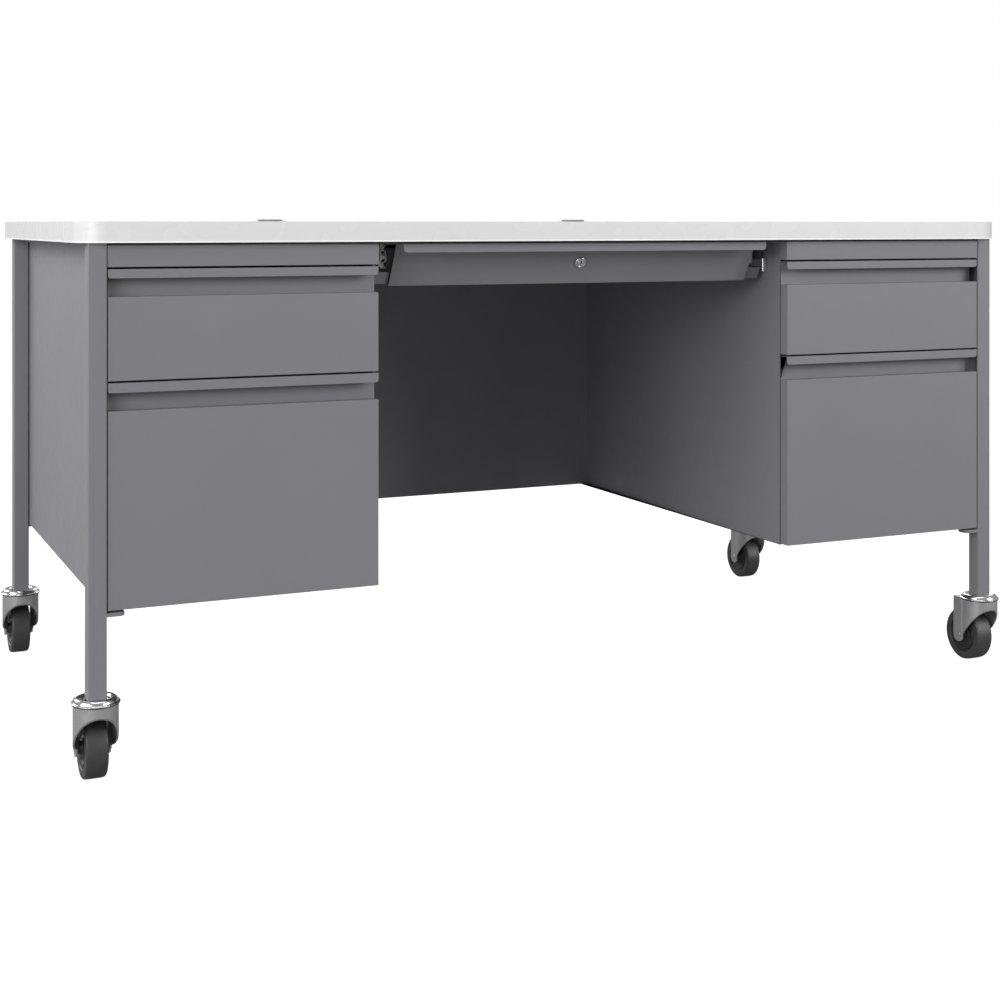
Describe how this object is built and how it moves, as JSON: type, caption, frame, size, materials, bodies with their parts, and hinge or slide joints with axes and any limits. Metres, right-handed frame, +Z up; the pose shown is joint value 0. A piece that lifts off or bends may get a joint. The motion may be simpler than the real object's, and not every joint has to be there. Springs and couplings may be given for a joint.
{
  "type": "teacher desk",
  "caption": "Mobile double-pedestal teacher desk: grey steel frame, white laminate worktop, box and file drawers each side, lockable centre drawer, swivel casters.",
  "frame": {"origin": "centre of the desk's whole footprint, casters included, on the floor", "axes": "+X to the right of a person seated at the desk, +Y from the seated person toward the back panel, +Z up"},
  "size_m": [1.5346, 0.8172, 0.7478],
  "materials": {
    "grey_powder_coat": "satin",
    "white_laminate": "satin",
    "white_edge_band": "semi-gloss",
    "grommet_plastic": "satin",
    "chrome": "polished",
    "zinc_plate": "satin",
    "slide_steel": "satin",
    "black_rubber": "satin"
  },
  "bodies": {
    "frame": {"worktop_board": "white_laminate", "worktop_edge_band": "white_edge_band", "back_panel": "grey_powder_coat", "left_grommet_sleeve": "grommet_plastic", "left_outer_side": "grey_powder_coat", "left_inner_side": "grey_powder_coat", "left_top_rail": "grey_powder_coat", "left_file_inner_slide_rail": "slide_steel", "left_box_inner_slide_rail": "slide_steel", "left_file_outer_slide_rail": "slide_steel", "left_box_outer_slide_rail": "slide_steel", "centre_left_slide_rail": "slide_steel", "centre_left_hanger": "grey_powder_coat", "right_grommet_sleeve": "grommet_plastic", "right_outer_side": "grey_powder_coat", "right_inner_side": "grey_powder_coat", "right_top_rail": "grey_powder_coat", "right_file_inner_slide_rail": "slide_steel", "right_box_inner_slide_rail": "slide_steel", "right_file_outer_slide_rail": "slide_steel", "right_box_outer_slide_rail": "slide_steel", "centre_right_slide_rail": "slide_steel", "centre_right_hanger": "grey_powder_coat", "front_left_leg": "grey_powder_coat", "front_left_caster_stem": "chrome", "rear_left_leg": "grey_powder_coat", "rear_left_caster_stem": "chrome", "front_right_leg": "grey_powder_coat", "front_right_caster_stem": "chrome", "rear_right_leg": "grey_powder_coat", "rear_right_caster_stem": "chrome"},
    "left_box_drawer": {"left_box_drawer_front": "grey_powder_coat", "left_box_drawer_body": "grey_powder_coat"},
    "left_file_drawer": {"left_file_drawer_front": "grey_powder_coat", "left_file_drawer_body": "grey_powder_coat"},
    "left_file_runners": {"left_file_inner_slide_runner": "slide_steel", "left_file_outer_slide_runner": "slide_steel"},
    "left_grommet_lid": {"left_grommet_cap": "grommet_plastic"},
    "right_box_drawer": {"right_box_drawer_front": "grey_powder_coat", "right_box_drawer_body": "grey_powder_coat"},
    "right_file_drawer": {"right_file_drawer_front": "grey_powder_coat", "right_file_drawer_body": "grey_powder_coat"},
    "right_file_runners": {"right_file_inner_slide_runner": "slide_steel", "right_file_outer_slide_runner": "slide_steel"},
    "right_grommet_lid": {"right_grommet_cap": "grommet_plastic"},
    "centre_drawer": {"centre_drawer_front": "grey_powder_coat", "centre_drawer_tray": "grey_powder_coat", "lock_barrel": "chrome"},
    "centre_runners": {"centre_left_slide_runner": "slide_steel", "centre_right_slide_runner": "slide_steel"},
    "lock_core": {"lock_plug": "chrome"},
    "front_left_fork": {"front_left_caster_fork": "zinc_plate"},
    "front_left_wheel": {"front_left_caster_wheel": "black_rubber"},
    "rear_left_fork": {"rear_left_caster_fork": "zinc_plate"},
    "rear_left_wheel": {"rear_left_caster_wheel": "black_rubber"},
    "front_right_fork": {"front_right_caster_fork": "zinc_plate"},
    "front_right_wheel": {"front_right_caster_wheel": "black_rubber"},
    "rear_right_fork": {"rear_right_caster_fork": "zinc_plate"},
    "rear_right_wheel": {"rear_right_caster_wheel": "black_rubber"}
  },
  "joints": [
    {"name": "left_box_drawer_slide", "type": "slide", "parent": "frame", "child": "left_box_drawer", "axis": [0, -1, 0], "range_m": [0, 0.38]},
    {"name": "left_file_drawer_slide", "type": "slide", "parent": "frame", "child": "left_file_drawer", "axis": [0, -1, 0], "range_m": [0, 0.5]},
    {"name": "left_file_runner_slide", "type": "slide", "parent": "frame", "child": "left_file_runners", "axis": [0, -1, 0], "range_m": [0, 0.25]},
    {"name": "left_grommet_lid_lift", "type": "slide", "parent": "frame", "child": "left_grommet_lid", "axis": [0, 0, 1], "range_m": [0, 0.03]},
    {"name": "right_box_drawer_slide", "type": "slide", "parent": "frame", "child": "right_box_drawer", "axis": [0, -1, 0], "range_m": [0, 0.38]},
    {"name": "right_file_drawer_slide", "type": "slide", "parent": "frame", "child": "right_file_drawer", "axis": [0, -1, 0], "range_m": [0, 0.5]},
    {"name": "right_file_runner_slide", "type": "slide", "parent": "frame", "child": "right_file_runners", "axis": [0, -1, 0], "range_m": [0, 0.25]},
    {"name": "right_grommet_lid_lift", "type": "slide", "parent": "frame", "child": "right_grommet_lid", "axis": [0, 0, 1], "range_m": [0, 0.03]},
    {"name": "centre_drawer_slide", "type": "slide", "parent": "frame", "child": "centre_drawer", "axis": [0, -1, 0], "range_m": [0, 0.28]},
    {"name": "centre_runner_slide", "type": "slide", "parent": "frame", "child": "centre_runners", "axis": [0, -1, 0], "range_m": [0, 0.14]},
    {"name": "lock_turn", "type": "hinge", "parent": "centre_drawer", "child": "lock_core", "pos_m": [0, -0.33823, 0.6814], "axis": [0, -0.8711, -0.4911], "range_deg": [0, 90]},
    {"name": "front_left_caster_swivel", "type": "hinge", "parent": "frame", "child": "front_left_fork", "pos_m": [-0.7351, -0.3764, 0.095], "axis": [0, 0, 1], "continuous": true},
    {"name": "front_left_wheel_spin", "type": "hinge", "parent": "front_left_fork", "child": "front_left_wheel", "pos_m": [-0.7351, -0.3499, 0.0425], "axis": [1, 0, 0], "continuous": true},
    {"name": "rear_left_caster_swivel", "type": "hinge", "parent": "frame", "child": "rear_left_fork", "pos_m": [-0.7351, 0.3396, 0.095], "axis": [0, 0, 1], "continuous": true},
    {"name": "rear_left_wheel_spin", "type": "hinge", "parent": "rear_left_fork", "child": "rear_left_wheel", "pos_m": [-0.7351, 0.3661, 0.0425], "axis": [1, 0, 0], "continuous": true},
    {"name": "front_right_caster_swivel", "type": "hinge", "parent": "frame", "child": "front_right_fork", "pos_m": [0.7351, -0.3764, 0.095], "axis": [0, 0, 1], "continuous": true},
    {"name": "front_right_wheel_spin", "type": "hinge", "parent": "front_right_fork", "child": "front_right_wheel", "pos_m": [0.7351, -0.3499, 0.0425], "axis": [1, 0, 0], "continuous": true},
    {"name": "rear_right_caster_swivel", "type": "hinge", "parent": "frame", "child": "rear_right_fork", "pos_m": [0.7351, 0.3396, 0.095], "axis": [0, 0, 1], "continuous": true},
    {"name": "rear_right_wheel_spin", "type": "hinge", "parent": "rear_right_fork", "child": "rear_right_wheel", "pos_m": [0.7351, 0.3661, 0.0425], "axis": [1, 0, 0], "continuous": true}
  ],
  "couplings": [
    {"joint": "left_file_runner_slide", "follows": "left_file_drawer_slide", "ratio": 0.5},
    {"joint": "right_file_runner_slide", "follows": "right_file_drawer_slide", "ratio": 0.5},
    {"joint": "centre_runner_slide", "follows": "centre_drawer_slide", "ratio": 0.5}
  ]
}
